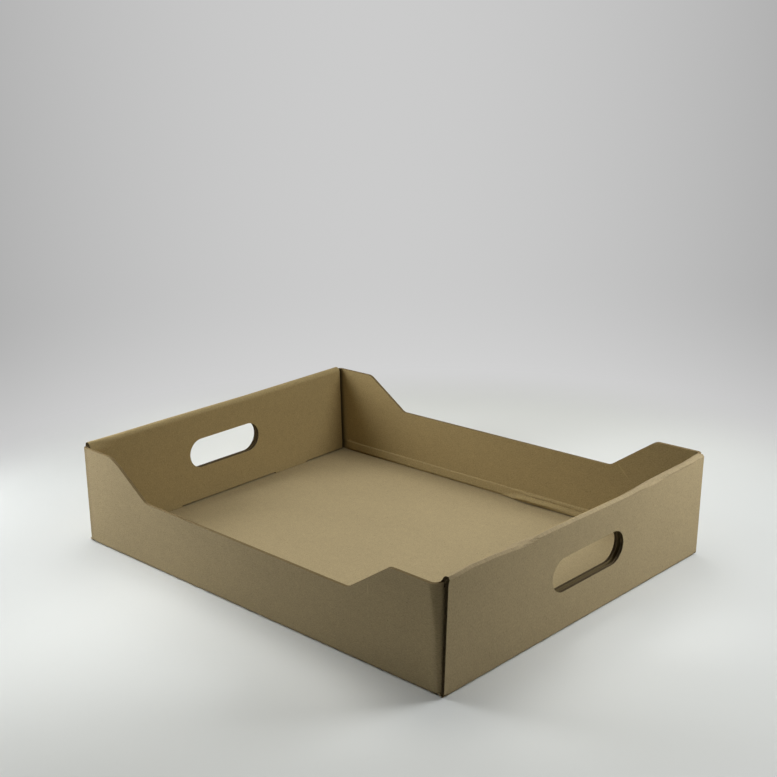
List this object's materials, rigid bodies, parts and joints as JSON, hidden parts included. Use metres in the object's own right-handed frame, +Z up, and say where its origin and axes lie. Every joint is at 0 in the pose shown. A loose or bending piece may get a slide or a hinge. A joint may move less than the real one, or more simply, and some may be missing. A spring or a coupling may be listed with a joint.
{
  "type": "cardboard tray box",
  "caption": "Open corrugated cardboard tray with rolled-over double end walls, a hand slot in each end and long walls that dip in the middle, folded from a single sheet.",
  "frame": {"origin": "middle of the underside, on the surface the tray stands on", "axes": "+X along the length, towards the end wall on the right in the picture; +Y across the width, towards the back long wall; +Z up"},
  "size_m": [0.4, 0.3, 0.085],
  "materials": {
    "kraft_board": "matte brown kraft liner"
  },
  "bodies": {
    "root": {"tray": "kraft_board"}
  },
  "joints": []
}
